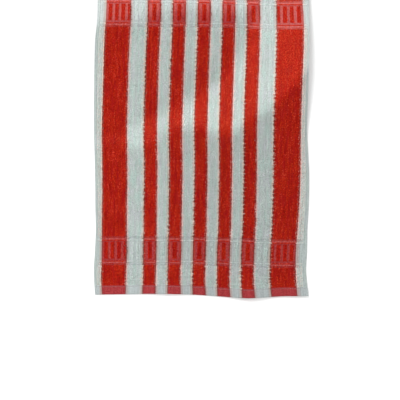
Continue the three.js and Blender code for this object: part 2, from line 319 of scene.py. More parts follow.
# noise with its own grain: how often it changes in a millimetre across and along, and its detail
def grained(tree, place, grain):
    across, along, detail = grain
    scaled = addNode(tree, "VectorMath", {0: place, 1: (across, along, 1)}, operation="MULTIPLY")
    noise = addNode(tree, "TexNoise", {"Vector": scaled.outputs[0], "Scale": 1.0, "Detail": detail})
    return noise.outputs[0]


# a value that changes at each place in the list
def stepValues(tree, value, stops):
    total = old = stops[0][1]
    for place, new in stops[1:]:
        if new != old:
            past = calc(tree, "GREATER_THAN", value, place)
            total = calc(tree, "MULTIPLY_ADD", past, float(new - old), total)
        old = new
    return total


# 1 in the zones of this kind and 0 elsewhere
def inZones(tree, along, wanted):
    return stepValues(tree, along, [(start, float(kind == wanted)) for kind, start in zones])


# whether a place is in a red stripe, and how far it is from the stripe's left and right sides
def stripePlace(tree, across):
    starts, ends = (list(sides) for sides in zip(*stripes))
    starts[0], ends[-1] = -farAway, cloth["width"] + farAway  # nothing lies beside the towel's own sides
    red, left, right = 0.0, starts[0], ends[0]
    for number in range(1, len(stripes)):
        past = calc(tree, "GREATER_THAN", across, starts[number])
        red = calc(tree, "MULTIPLY_ADD", past, 1.0 if number % 2 else -1.0, red)
        left = calc(tree, "MULTIPLY_ADD", past, starts[number] - starts[number - 1], left)
        right = calc(tree, "MULTIPLY_ADD", past, ends[number] - ends[number - 1], right)
    return red, calc(tree, "SUBTRACT", across, left), calc(tree, "SUBTRACT", right, across)


weave = {
    "ground": {"white": (0.450, 0.510, 0.480, 1), "red": (0.380, 0.010, 0.005, 1)},  # below the loops
    "warp": {"white": (0.336, 0.392, 0.365, 1), "red": (0.282, 0.014, 0.009, 1)},
    "coolWarp": {"white": (0.348, 0.380, 0.386, 1), "red": (0.250, 0.013, 0.022, 1)},  # lilac and crimson
    "weft": {"white": (0.420, 0.480, 0.460, 1), "red": (0.890, 0.256, 0.220, 1)},
    # painted light: the paler colour of the cloth where the lamp catches the folds
    "paintedLit": {"white": (0.600, 0.620, 0.610, 1), "red": (0.700, 0.260, 0.230, 1)},
    "paintedLitShare": 0.20,
    "weftShows": {"hem": 0.32, "line": 1.0, "weave": 0.28, "bars": 0.38, "thin": 0.30, "pile": 0.0},
    "knotRound": 0.7,  # the lower, the larger the spots of weft
    "leftEdge": {  # along a stripe's left side: the neighbour's dye on white weave and on white ground, and a painted dark line of shade on red
        "white": (0.360, 0.220, 0.200, 1),
        "whiteGround": (0.780, 0.480, 0.460, 1),
        "red": (0.125, 0.045, 0.040, 1),
    },
    "rightEdge": {
        "white": (0.380, 0.240, 0.190, 1),
        "whiteGround": (0.860, 0.520, 0.410, 1),
        # a painted dark line of shade on red
        "red": (0.150, 0.035, 0.035, 1),
    },
    "edgeShare": 0.7,
    "edgeReach": {"white": 6.5, "whiteGround": 2.2, "red": 3.4},  # how far it spreads
    "edgeFull": 0.6,
    "fray": 2.4,  # how far the stripes' edges wander
    "frayGrain": (0.4, 1.2, 2.0),
    "speckle": 0.55,  # how unevenly the weft shows
    "speckleGrain": (0.40, 0.46, 2.0),
    "speckleFrom": (0.34, 0.66),
    "coolGrain": (0.45, 0.03, 2.0),
    "coolFrom": (0.38, 0.62),
    "coolHem": 0.85,
    "warpPitch": 0.95,
    "weftPitch": 1.3,
    "tone": 0.58,  # how light it is, and what each kind of unevenness adds
    "threadTone": 0.26,
    "slowTone": 0.40,
    "slowGrain": (0.35, 0.04, 3.0),
    "speckleTone": 0.20,
    # how much the painted light and shade along the folds lighten or darken it
    "paintedLightLift": 0.14,
    "bumpDepth": 0.00012,
    "bumpStrength": 0.8,
    "roughness": 0.88,
    "knotRoughness": 0.06,
    "finish": {"shine": 0.05, "sheen": 0.04, "sheenRoughness": 0.6, "sheenTint": (1.0, 0.75, 0.70, 1)},
}


# along its edges, a white stripe takes up some of its red neighbour's dye, and a red stripe gets a painted
# dark line of shade
def atEdges(tree, colour, isRed, inPile, fromLeft, fromRight):
    reach = weave["edgeReach"]
    whiteReach = mixValues(tree, inPile, reach["white"], reach["whiteGround"])
    reach = mixValues(tree, isRed, whiteReach, reach["red"])
    for name, distance in (("leftEdge", fromLeft), ("rightEdge", fromRight)):
        near = calc(tree, "MULTIPLY", fade(tree, distance, reach, weave["edgeFull"]), weave["edgeShare"])
        whiteEdge = mixColours(tree, inPile, weave[name]["white"], weave[name]["whiteGround"])
        colour = mixColours(tree, near, colour, mixColours(tree, isRed, whiteEdge, weave[name]["red"]))
    return colour


# 1 where the pile stands, in its own zones and in the bars of the bands
def pileArea(tree, across, along, frayed):
    barEdges = [(0.0, 0.0)]
    for number in range(1, len(stripes) - 1):
        for left, right in barsOf(number):
            barEdges += [(left, 1.0), (right, 0.0)]
    inBar = calc(tree, "MULTIPLY", inZones(tree, along, "bars"), stepValues(tree, frayed, barEdges))
    inPile = calc(tree, "MAXIMUM", inZones(tree, along, "pile"), inBar)
    half = cloth["width"] / 2
    fromMiddle = calc(tree, "ABSOLUTE", calc(tree, "SUBTRACT", across, half))
    insideSelvages = calc(tree, "LESS_THAN", fromMiddle, half - cloth["selvage"])
    return calc(tree, "MULTIPLY", inPile, insideSelvages)


def weaveMaterial():
    material, tree = newMaterial("wovenCotton")
    place, across, along = clothPlace(tree)
    stray = calc(tree, "SUBTRACT", grained(tree, place, weave["frayGrain"]), 0.5)
    frayed = calc(tree, "MULTIPLY_ADD", stray, weave["fray"], across)
    isRed, fromLeft, fromRight = stripePlace(tree, frayed)
    inPile = pileArea(tree, across, along, frayed)

    # plain weave: warp and weft cross over and under in turn
    warp = calc(tree, "COSINE", calc(tree, "MULTIPLY", across, math.pi / weave["warpPitch"]))
    weft = calc(tree, "COSINE", calc(tree, "MULTIPLY", along, math.pi / weave["weftPitch"]))
    knot = calc(tree, "MULTIPLY", warp, weft)
    speckle = fade(tree, grained(tree, place, weave["speckleGrain"]), *weave["speckleFrom"])
    uneven = calc(tree, "MULTIPLY_ADD", speckle, weave["speckle"] * 2, 1 - weave["speckle"])
    shows = stepValues(tree, along, [(start, weave["weftShows"][kind]) for kind, start in zones])
    shows = calc(tree, "MULTIPLY", fade(tree, knot, 0.0, weave["knotRound"]), shows)
    shows = calc(tree, "MULTIPLY", shows, uneven)

    cool = fade(tree, grained(tree, place, weave["coolGrain"]), *weave["coolFrom"])
    coolHem = calc(tree, "MULTIPLY", inZones(tree, along, "hem"), weave["coolHem"])
    cool = calc(tree, "MAXIMUM", cool, coolHem)
    colour = striped(tree, isRed, weave["warp"])
    colour = mixColours(tree, cool, colour, striped(tree, isRed, weave["coolWarp"]))
    colour = mixColours(tree, shows, colour, striped(tree, isRed, weave["weft"]))
    colour = mixColours(tree, inPile, colour, striped(tree, isRed, weave["ground"]))
    colour = atEdges(tree, colour, isRed, inPile, fromLeft, fromRight)

    # painted light and shade along the folds: paler where the lamp catches them, darker past them
    paintedLight = readTone(tree, "paintedLight")
    paintedLit = calc(tree, "MULTIPLY", calc(tree, "MAXIMUM", paintedLight, 0.0), weave["paintedLitShare"])
    paintedLit = calc(tree, "MULTIPLY", paintedLit, calc(tree, "SUBTRACT", 1.0, inPile))
    colour = mixColours(tree, paintedLit, colour, striped(tree, isRed, weave["paintedLit"]))

    thread = calc(tree, "FLOOR", calc(tree, "DIVIDE", across, weave["warpPitch"]))
    threadTone = addNode(tree, "TexWhiteNoise", {"W": thread}, noise_dimensions="1D").outputs[0]
    slow = grained(tree, place, weave["slowGrain"])
    tone = calc(tree, "MULTIPLY_ADD", slow, weave["slowTone"], weave["tone"])
    tone = calc(tree, "MULTIPLY_ADD", threadTone, weave["threadTone"], tone)
    tone = calc(tree, "MULTIPLY_ADD", speckle, weave["speckleTone"], tone)
    lift = calc(tree, "MULTIPLY_ADD", paintedLight, weave["paintedLightLift"], 1.0)
    colour = toned(tree, colour, calc(tree, "MULTIPLY", tone, lift))

    relief = {"Height": knot, "Distance": weave["bumpDepth"], "Strength": weave["bumpStrength"]}
    bump = addNode(tree, "Bump", relief).outputs[0]
    roughness = calc(tree, "MULTIPLY_ADD", knot, weave["knotRoughness"], weave["roughness"])
    finishMaterial(tree, colour, bump, roughness, weave["finish"])
    return material


underside = {
    "acrossPitch": 2.1,
    "alongPitch": 2.35,
    "loopRise": 0.0009,
    "hollowFrom": (0.3, 0.8),  # from a loop's middle, in pitches
    # painted shade in the hollows between the loops
    "paintedHollowShade": 0.74,
    "loopTone": 0.2,
    "weftShows": 0.18,  # in the bands and hems
    "roughness": 0.88,
    "loopRoughness": 0.08,
    "finish": {"shine": 0.05, "sheen": 0.05, "sheenRoughness": 0.6, "sheenTint": (1.0, 0.8, 0.75, 1)},
}


# the pile below is pressed flat on the floor, so its loops are raised in the finish alone, and the hollows
# between them are painted darker as shade
def undersideMaterial():
    material, tree = newMaterial("pressedPile")
    place, across, along = clothPlace(tree)
    isRed, fromLeft, fromRight = stripePlace(tree, across)
    inPile = inZones(tree, along, "pile")
    perLoop = (1 / underside["acrossPitch"], 1 / underside["alongPitch"], 1)
    scaled = addNode(tree, "VectorMath", {0: place, 1: perLoop}, operation="MULTIPLY").outputs[0]
    cells = addNode(tree, "TexVoronoi", {"Vector": scaled, "Scale": 1.0}, voronoi_dimensions="2D")
    varied = addNode(tree, "SeparateXYZ", {0: cells.outputs["Color"]}).outputs[0]
    hollow = calc(tree, "MULTIPLY", fade(tree, cells.outputs["Distance"], *underside["hollowFrom"]), inPile)

    warp, weft = striped(tree, isRed, weave["warp"]), striped(tree, isRed, weave["weft"])
    woven = mixColours(tree, underside["weftShows"], warp, weft)
    colour = mixColours(tree, inPile, woven, striped(tree, isRed, weave["ground"]))
    colour = atEdges(tree, colour, isRed, inPile, fromLeft, fromRight)
    tone = calc(tree, "MULTIPLY_ADD", varied, underside["loopTone"], 1.0)
    shade = calc(tree, "MULTIPLY_ADD", hollow, underside["paintedHollowShade"] - 1, 1.0)
    colour = toned(tree, colour, calc(tree, "MULTIPLY", tone, shade))
    relief = {"Height": calc(tree, "SUBTRACT", 1.0, hollow), "Distance": underside["loopRise"]}
    bump = addNode(tree, "Bump", relief).outputs[0]
    roughness = calc(tree, "MULTIPLY_ADD", varied, underside["loopRoughness"], underside["roughness"])
    finishMaterial(tree, colour, bump, roughness, underside["finish"])
    return material


def heightOf(along):
    fromEnd = np.minimum(along, cloth["length"] - along)
    height = np.where(fromEnd < cloth["hemDepth"], cloth["hem"], cloth["ground"])
    return np.where(np.abs(fromEnd - cloth["seamAt"]) < cloth["seamWidth"] / 4, cloth["seam"], height)


# lines of the mesh: at the features, measured from both ends, and evenly between them
def gridLines(size, features):
    places = sorted({0.0, *features, *(size - f for f in features), size})
    lines = [0.0]
    for a, b in zip(places, places[1:]):
        count = max(1, round((b - a) / cloth["pitch"]))
        lines += list(np.linspace(a, b, count + 1)[1:])
    return np.array(lines)


def quadFaces(ids):
    return np.stack([ids[:-1, :-1], ids[:-1, 1:], ids[1:, 1:], ids[1:, :-1]], 2).reshape(-1, 4)


# a closed sheet: its top and its underside share their rim
def wovenSheet():
    rim = cloth["rimLines"] + [cloth["edgeRound"]]
    seam, half = cloth["seamAt"], cloth["seamWidth"] / 2
    changes = [cloth["hemDepth"], bandStarts[0], bandStarts[0] + bandLength]
    features = rim + [seam - half, seam, seam + half]
    features += [change + side for change in changes for side in (-cloth["step"], cloth["step"])]
    acrossLines = gridLines(cloth["width"], rim + [cloth["selvage"]])
    alongLines = gridLines(cloth["length"], features)
    across, along = (part.ravel() for part in np.meshgrid(acrossLines, alongLines))
    x, y = placeOf(across, along)
    lift = liftOf(x, y)

    fromRim = np.minimum.reduce([across, along, cloth["width"] - across, cloth["length"] - along])
    bulge = np.sqrt(1 - (1 - np.clip(fromRim / cloth["edgeRound"], 0, 1)) ** 2)
    height = heightOf(along)
    inBand = sum((along > start) & (along < start + bandLength) for start in bandStarts)
    middle = height / 2
    top = middle + (height - middle) * bulge
    bottom = middle + (cloth["underBand"] * inBand - middle) * bulge

    wide, long = len(acrossLines), len(alongLines)
    inner = fromRim > 0
    topIds = np.arange(wide * long).reshape(long, wide)
    bottomIds = topIds.copy()
    bottomIds[inner.reshape(long, wide)] = wide * long + np.arange(inner.sum())
    faces = np.concatenate([quadFaces(topIds), quadFaces(bottomIds)[:, ::-1]])
    points = np.concatenate([
        np.stack([x, y, lift + top], 1),
        np.stack([x, y, lift + bottom], 1)[inner],
    ])
    places = np.stack([across, along], 1)
    return points, faces, np.concatenate([places, places[inner]])


def newPiece(name, points, faces, material):
    mesh = bpy.data.meshes.new(name)
    mesh.from_pydata(points.tolist(), [], faces)
    piece = bpy.data.objects.new(name, mesh)
    bpy.context.collection.objects.link(piece)
    mesh.materials.append(material)
    mesh.polygons.foreach_set("use_smooth", np.ones(len(faces), bool))
    return piece


def cornerVertices(mesh):
    corners = np.empty(len(mesh.loops), np.int32)
    mesh.loops.foreach_get("vertex_index", corners)
    return corners


def addMap(mesh, name, spots):
    layer = mesh.uv_layers.new(name=name)
    layer.uv.foreach_set("vector", spots.astype(np.float32).ravel())


def addTone(mesh, name, values):
    layer = mesh.attributes.new(name, "FLOAT", "POINT")
    layer.data.foreach_set("value", values.astype(np.float32))


# painted light and shade: along the folds the pile is painted paler where the lamp catches them, and past
# them it is painted darker
paintedLighting = {
    "rows": [  # across the towel: where the painted light starts, ends and starts again, and how softly it ends
        (-200, -20, -18, 200, 17),
        (-160, -22, -8, 206, 17),
        (-145, -25, -3, 208, 17),
        (-123, -32, 13, 211, 17),
        (-100, -27, 24, 216, 17),
        (-78, -6, 32, 222, 17),
        (-55, 0, 43, 225, 17),
        (-33, 8, 54, 226, 17),
        (-10, 8, 66, 225, 17),
        (12, -1, 83, 224, 19),
        (35, -3, 98, 223, 21),
        (57, 1, 127, 222, 24),
        (80, 12, 160, 222, 34),
        (102, 28, 235, 228, 60),
        (125, 40, 330, 226, 60),
        (147, 56, 360, 226, 50),
        (170, 84, 360, 226, 40),
        (200, 118, 360, 226, 40),
    ],
    "soft": (17, 18),  # how softly it starts, and starts again
    "paintedShade": 0.95,
    "paintedShadeFrom": (-130, 20),
    "paintedShadeSide": (182, 190),  # the painted shade fades out again towards the right side and the far end
    "paintedShadeEnd": (90, 200),
    "paintedShadeEase": 0.7,
    "paintedLeeLight": (0.04, 0.20),  # the slopes that face away from the lamp get a little painted light too
    "paintedLeeLightShare": 0.3,
}


# from -1 for painted shade to 1 for painted light
def paintedLightOf(x, y):
    slopeX, slopeY = slopeOf(x, y)
    away = slopeX * lightFrom[0] + slopeY * lightFrom[1]
    start, end, again, softEnd = (smoothRead(paintedLighting["rows"], column, x) for column in (1, 2, 3, 4))
    softStart, softAgain = paintedLighting["soft"]
    paintedLit = between(y, start - softStart, start + softStart)
    paintedLit *= 1 - between(y, end - softEnd, end + softEnd)
    paintedLit = np.maximum(paintedLit, between(y, again - softAgain, again + softAgain))
    eased = np.maximum(between(x, *paintedLighting["paintedShadeSide"]), between(y, *paintedLighting["paintedShadeEnd"]))
    paintedShade = paintedLighting["paintedShade"] * between(x, *paintedLighting["paintedShadeFrom"]) * (1 - paintedLighting["paintedShadeEase"] * eased)
    # painted light on the slopes that face away from the lamp, which lessens the painted shade there
    paintedShade -= paintedLighting["paintedLeeLightShare"] * between(away, *paintedLighting["paintedLeeLight"])
    return paintedLit - paintedShade * (1 - paintedLit)


bakeLayout = {  # where the top and the underside start on the second map, and how wide they are there
    "top": (0.0, 0.78),
    "underside": (0.8, 0.2),
}

points, faces, places = wovenSheet()
middle = (points.max(0) + points.min(0)) / 2
shiftX = (cadLow.x + cadHigh.x) / 2 / mm - middle[0]
shiftY = (cadLow.y + cadHigh.y) / 2 / mm - middle[1]
woven = newPiece("wovenCloth", (points + (shiftX, shiftY, 0)) * mm, faces.tolist(), weaveMaterial())
woven.data.materials.append(undersideMaterial())
isBelow = np.arange(len(faces)) >= len(faces) / 2
woven.data.polygons.foreach_set("material_index", isBelow.astype(np.int32))
spots = places[cornerVertices(woven.data)]
addMap(woven.data, "clothMap", spots * mm)
start, size = np.where(np.repeat(isBelow, 4)[:, None], bakeLayout["underside"], bakeLayout["top"]).T
spots = spots / (cloth["width"], cloth["length"])
addMap(woven.data, "OFBake", np.stack([start + size * spots[:, 0], spots[:, 1]], 1))
# the painted light and shade along the folds, for the materials to read
addTone(woven.data, "paintedLight", paintedLightOf(points[:, 0], points[:, 1]))
print("woven cloth made,", len(faces), "faces")


def startModel(sides, radius):
    bpy.ops.mesh.primitive_circle_add(vertices=sides, radius=radius, fill_type="NGON", location=(0, 0, 0))
    bpy.ops.object.mode_set(mode="EDIT")
    bpy.ops.mesh.select_all(action="SELECT")
    return bpy.context.object


def takeModel(model):
    bpy.ops.object.mode_set(mode="OBJECT")
    corners = np.array([v.co for v in model.data.vertices])
    faces = [list(p.vertices) for p in model.data.polygons]
    bpy.data.objects.remove(model)
    return corners, faces


def turned(x, y, angle):
    return x * np.cos(angle) - y * np.sin(angle), x * np.sin(angle) + y * np.cos(angle)


# sets a copy's corners on the cloth at each place, so that it leans with the folds
def setOnCloth(x, y, base, dx, dy, dz):
    slopeX, slopeY = slopeOf(x, y)
    z = liftOf(x, y)[:, None] + base + dz + dx * slopeX[:, None] + dy * slopeY[:, None]
    return np.stack([x[:, None] + dx + shiftX, y[:, None] + dy + shiftY, z], 2).reshape(-1, 3) * mm


pile = {
    "acrossPitch": 2.1,
    "alongPitch": 2.35,
    "yarn": 0.56,
    "yarnSides": 3,
    "loopSteps": 3,
    "reach": 0.74,
    "height": 1.25,
    "foot": 0.25,  # how deep it is planted
    "sizes": (0.86, 1.14),
    "lean": 0.35,
    "turn": 0.5,
    "strayAcross": 0.28,
    "strayAlong": 0.34,
    "barStray": 0.60,
    "edgeStray": 1.1,
    "edgeStrayRange": (-0.5, 1),  # into the stripe and out of it
    "thinShare": 0.6,
    "notches": [0.1, 0.85, 0.85, 1.1, 0.7, 1.2, 1.25],  # how deep they are on each red stripe
    "notchPitch": 8.2,
    "notchUneven": (0.9, 1.15),  # share and rate of a second wave
    "notchReach": 5.5,
    "notchFull": 1.2,  # above 1, they keep their full depth near the edge
    "toothFrom": 0.55,  # the shift past which a loop belongs to a tooth or to the gap beside it
    # painted shade on the loops of the teeth, and painted light on the loops in the gaps beside them
    "paintedToothShade": 0.0,  # 0 is dark and 1 is light
    "paintedGapLight": 0.75,
    "edgeTicks": 0.35,  # the share of the loops along a stripe's edge that take up its neighbour's dye most
    "edgeTint": 0.9,
    "notchTint": 0.55,
    "nextTint": 0.45,
    "nextVaries": (0.4, 1.6),
    "marginTint": 0.19,
    "tone": 0.5,
    "streakLength": 12.0,
    "streakColumns": 200,  # more than the columns of loops
    "streak": 0.22,
    "mottle": {"red": 0.19, "white": 0.15},
    "marginCalm": 0.30,
    "barCalm": {"red": 1.0, "white": 0.35},
    # the bars' loops are painted darker as shade
    "paintedBarShade": 0.30,  # how much darker the bars of the bands are, and again at a stripe's edge
    "mapStart": 0.15,  # a loop's place in its square of the second map
    "mapLength": 0.66,
    "mapShift": 0.04,
    "mapRound": 0.35,
}


def modelLoop():
    loop = startModel(pile["yarnSides"], pile["yarn"])
    bpy.ops.transform.translate(value=(0, pile["reach"], 0))
    bpy.ops.mesh.spin(steps=pile["loopSteps"], angle=-math.pi, center=(0, 0, 0), axis=(1, 0, 0))
    bpy.ops.mesh.select_all(action="SELECT")
    bpy.ops.transform.resize(value=(1, 1, pile["height"] / pile["reach"]), center_override=(0, 0, 0))
    bpy.ops.mesh.remove_doubles(threshold=0.001)
    bpy.ops.mesh.normals_make_consistent(inside=False)
    bpy.ops.mesh.quads_convert_to_tris()
    return takeModel(loop)


# light and dark streaks along each column of loops
def columnTones(count, along):
    knots = np.arange(0, cloth["length"] + pile["streakLength"] + 1, pile["streakLength"])
    table = chance.normal(0, 1, (count, len(knots)))
    return np.stack([np.interp(along, knots, row) for row in table])


# how far each loop is shifted to the left: along the red stripes' left sides, small groups stand out in turn
def notchShift(number, along, fromLeft, fromRight):
    redNumber = number + 1 - number % 2
    if redNumber >= len(stripes):
        return np.zeros(len(along))
    share, rate = pile["notchUneven"]
    wave = np.sin(math.tau * along / pile["notchPitch"] + redNumber)
    wave += share * np.sin(along * rate + 2 * redNumber)
    distance = fromLeft if number % 2 else fromRight
    near = np.clip(pile["notchFull"] - distance / pile["notchReach"], 0, 1)
    return near * pile["notches"][redNumber // 2] * np.sign(wave)


# where a stripe's loops stand: across, along, from its left and right sides, their shift, and if in a bar
def loopPlaces(number):
    start, end = stripes[number]
    start, end = max(start, cloth["selvage"]), min(end, cloth["width"] - cloth["selvage"])
    blocks = [((start, end), stretch, 0, 1) for stretch in stretchesOf("pile")]
    blocks += [((start, end), stretch, 0, pile["thinShare"]) for stretch in stretchesOf("thin")]
    if 0 < number < len(stripes) - 1:
        blocks += [(bar, stretch, 1, 1) for bar in barsOf(number) for stretch in stretchesOf("bars")]
    found = []
    for (left, right), (near, far), inBar, share in blocks:
        wide = max(1, round((right - left) / pile["acrossPitch"]))
        long = max(1, round((far - near) / pile["alongPitch"]))
        across = left + (np.arange(wide) + 0.5) * (right - left) / wide
        along = near + (np.arange(long) + 0.5) * (far - near) / long
        across, along = (part.ravel() for part in np.meshgrid(across, along))
        grid = np.column_stack([across, along, np.full(wide * long, inBar)])
        found.append(grid[chance.random(len(grid)) < share])
    across, along, inBar = np.concatenate(found).T
    fromLeft = across - start if number > 0 else np.full(len(across), farAway)
    fromRight = end - across if number < len(stripes) - 1 else np.full(len(across), farAway)
    shift = notchShift(number, along, fromLeft, fromRight)
    return np.column_stack([across, along, fromLeft, fromRight, shift, inBar])


# a square for each loop on the second map: along the yarn one way and round it the other
def loopSquares(corners, count):
    side = math.ceil(math.sqrt(count))
    squares = np.stack([np.arange(count) % side, np.arange(count) // side], 1)
    turnOf = np.arctan2(corners[:, 2] / pile["height"], corners[:, 1] / pile["reach"]) / math.pi
    outer = np.abs(corners[:, 0]) < 0.01
    alongYarn = pile["mapStart"] + pile["mapLength"] * turnOf + pile["mapShift"] * outer
    roundYarn = 0.5 + pile["mapRound"] * corners[:, 0] / corners[:, 0].max()
    return ((squares[:, None] + np.stack([alongYarn, roundYarn], 1)) / side).reshape(-1, 2)


def plantPile(name, numbers, material):
    places = np.concatenate([loopPlaces(number) for number in numbers])
    across, along, fromLeft, fromRight, shift, inBar = places.T
    fromSides = np.stack([fromLeft, fromRight], 1)
    count = len(places)
    colourName = "red" if numbers[0] % 2 else "white"
    inMargin = np.abs(across - cloth["width"] / 2) > cloth["width"] / 2 - stripes[0][1]
    atEdge = np.clip(pile["acrossPitch"] - fromSides, 0, 1)
    nextToEdge = np.clip(2 * pile["acrossPitch"] - fromSides, 0, 1) - atEdge

    # how light each loop is
    column = np.floor(across / pile["acrossPitch"]).astype(int)
    streak = columnTones(pile["streakColumns"], along)[column, np.arange(count)]
    vary = pile["streak"] * streak + chance.normal(0, pile["mottle"][colourName], count)
    calm = np.where(inMargin, pile["marginCalm"], 1) * np.where(inBar > 0, pile["barCalm"][colourName], 1)
    # painted shade lowers the tone of the bars, and more at a stripe's edge
    tone = pile["tone"] + vary * calm - pile["paintedBarShade"] * inBar * (1 + atEdge.max(1))
    # the teeth get painted shade and the loops in the gaps beside them painted light
    tone = np.where(shift < -pile["toothFrom"], pile["paintedGapLight"], tone)
    tone = np.where(shift > pile["toothFrom"], pile["paintedToothShade"], tone)

    # how much of its neighbour's dye it takes up, from the left and from the right
    edges = atEdge * np.where(chance.random((count, 1)) < pile["edgeTicks"], 1, pile["edgeTint"])
    edges += nextToEdge * pile["nextTint"] * chance.uniform(*pile["nextVaries"], (count, 1))
    edges = np.maximum(edges, pile["marginTint"] * inMargin[:, None])
    edges *= np.where(shift < 0, pile["notchTint"], 1)[:, None]

    # where it stands
    stray = pile["strayAcross"] + pile["barStray"] * inBar
    across += chance.uniform(-1, 1, count) * stray * pile["acrossPitch"]
    outwards = atEdge[:, 1] - atEdge[:, 0]
    across += outwards * chance.uniform(*pile["edgeStrayRange"], count) * pile["edgeStray"]
    across -= shift
    along += chance.uniform(-1, 1, count) * pile["strayAlong"] * pile["alongPitch"]
    x, y = placeOf(across, along)

    corners, faces = modelLoop()
    spread = (corners - (0, 0, pile["foot"])) * chance.uniform(*pile["sizes"], (count, 1, 1))
    turn = chance.normal(0, pile["turn"], count)[:, None]
    leanX = chance.normal(0, pile["lean"], count)[:, None]
    leanY = chance.normal(0, pile["lean"], count)[:, None]
    dx, dy = turned(spread[..., 0], spread[..., 1], turn)
    dz = spread[..., 2]
    points = setOnCloth(x, y, cloth["ground"], dx + dz * leanX, dy + dz * leanY, dz)
    perLoop = len(corners)
    allFaces = (np.array(faces)[None] + np.arange(count)[:, None, None] * perLoop).reshape(-1, 3)
    piece = newPiece(name, points, allFaces.tolist(), material)

    ends = cornerVertices(piece.data)
    addMap(piece.data, "clothMap", np.repeat(np.stack([across, along], 1), perLoop, 0)[ends] * mm)
    addMap(piece.data, "OFBake", loopSquares(corners, count)[ends])
    # the first of these is the painted light and shade along the folds
    tones = {"paintedLight": paintedLightOf(x, y), "tone": np.clip(tone, 0, 1), "atLeft": edges[:, 0], "atRight": edges[:, 1]}
    for toneName, values in tones.items():
        addTone(piece.data, toneName, np.repeat(values, perLoop))
    print(name, "planted,", count, "loops,", len(allFaces), "triangles")
    return piece


yarns = {
    "red": {
        "dark": (0.350, 0.003, 0.001, 1),
        "light": (0.840, 0.060, 0.018, 1),
        "tints": [(0.700, 0.056, 0.012, 1), (0.450, 0.008, 0.022, 1)],
        "tintShare": 0.55,
        # a painted sheen on the lightest loops
        "paintedSheen": (0.860, 0.150, 0.110, 1),
        "paintedSheenShare": 0.45,
        # painted light along the folds, and how much the painted light and shade lift or darken the yarn
        "paintedLit": (0.900, 0.190, 0.095, 1),
        "paintedLitShare": 0.25,
        "paintedLightLift": 0.10,
        "leftEdge": (0.400, 0.240, 0.180, 1),
        "rightEdge": (0.520, 0.290, 0.250, 1),
        "edgeContrast": 1.4,
        "finish": {"shine": 0.02, "sheen": 0.03, "sheenRoughness": 0.6, "sheenTint": (1.0, 0.16, 0.10, 1)},
    },
    "white": {
        "dark": (0.440, 0.492, 0.472, 1),
        "light": (0.815, 0.872, 0.852, 1),
        "tints": [(0.700, 0.660, 0.740, 1), (0.550, 0.740, 0.690, 1)],
        "tintShare": 0.7,
        # a painted sheen on the lightest loops
        "paintedSheen": (0.880, 0.920, 0.900, 1),
        "paintedSheenShare": 0.30,
        # painted light along the folds, and how much the painted light and shade lift or darken the yarn
        "paintedLit": (0.900, 0.930, 0.930, 1),
        "paintedLitShare": 0.15,
        "paintedLightLift": 0.13,
        "leftEdge": (0.990, 0.590, 0.560, 1),
        "rightEdge": (1.000, 0.670, 0.520, 1),
        "edgeContrast": 0.3,
        "finish": {"shine": 0.05, "sheen": 0.06, "sheenRoughness": 0.6, "sheenTint": (0.92, 1.0, 0.97, 1)},
    },
}

# what both yarns share
spun = {
    "slowGrain": (0.13, 0.012, 3.0),
    "slowTone": 0.45,
    "paintedSheenFrom": (0.6, 1.1),
    "tintGrain": (0.20, 0.030, 3.0),
    "tintFrom": [(0.51, 0.60), (0.49, 0.40)],
    "fibreScale": 3200.0,
    "fibreDepth": 0.00008,
    "roughness": 0.78,
    "fibreRoughness": 0.2,
}


def yarnMaterial(name, yarn):
    material, tree = newMaterial(name)
    place, across, along = clothPlace(tree)
    loopTone = readTone(tree, "tone")
    slow = calc(tree, "SUBTRACT", grained(tree, place, spun["slowGrain"]), 0.5)
    tone = calc(tree, "MULTIPLY_ADD", slow, spun["slowTone"], loopTone)
    colour = mixColours(tree, tone, yarn["dark"], yarn["light"])
    # painted sheen: the lightest loops are mixed towards a paler colour
    paintedSheen = calc(tree, "MULTIPLY", fade(tree, tone, *spun["paintedSheenFrom"]), yarn["paintedSheenShare"])
    colour = mixColours(tree, paintedSheen, colour, yarn["paintedSheen"])
    tints = grained(tree, place, spun["tintGrain"])
    for tint, (low, high) in zip(yarn["tints"], spun["tintFrom"]):
        share = calc(tree, "MULTIPLY", fade(tree, tints, low, high), yarn["tintShare"])
        colour = mixColours(tree, share, colour, tint)
    # painted shade: the edge colours get darker with a loop's tone, so the teeth and the bars' edges come
    # out dark
    shade = calc(tree, "MULTIPLY_ADD", loopTone, yarn["edgeContrast"], 1 - yarn["edgeContrast"] / 2)
    for edge, attribute in (("leftEdge", "atLeft"), ("rightEdge", "atRight")):
        colour = mixColours(tree, readTone(tree, attribute), colour, toned(tree, yarn[edge], shade))

    # painted light and shade along the folds
    paintedLight = readTone(tree, "paintedLight")
    paintedLit = calc(tree, "MULTIPLY", calc(tree, "MAXIMUM", paintedLight, 0.0), yarn["paintedLitShare"])
    colour = mixColours(tree, paintedLit, colour, yarn["paintedLit"])
    colour = toned(tree, colour, calc(tree, "MULTIPLY_ADD", paintedLight, yarn["paintedLightLift"], 1.0))
    objectPlace = addNode(tree, "TexCoord").outputs["Object"]
    fibres = addNode(tree, "TexNoise", {"Vector": objectPlace, "Scale": spun["fibreScale"]}).outputs[0]
    bump = addNode(tree, "Bump", {"Height": fibres, "Distance": spun["fibreDepth"]}).outputs[0]
    roughness = calc(tree, "MULTIPLY_ADD", fibres, spun["fibreRoughness"], spun["roughness"])
    finishMaterial(tree, colour, bump, roughness, yarn["finish"])
    return material


redYarn = yarnMaterial("redYarn", yarns["red"])
whiteYarn = yarnMaterial("whiteYarn", yarns["white"])
pilePieces = [
    plantPile("redPileLeft", [1, 3], redYarn),
    plantPile("redPileMiddle", [5, 7, 9], redYarn),
    plantPile("redPileRight", [11, 13], redYarn),
    plantPile("whitePileLeft", [0, 2, 4, 6], whiteYarn),
    plantPile("whitePileRight", [8, 10, 12, 14], whiteYarn),
]


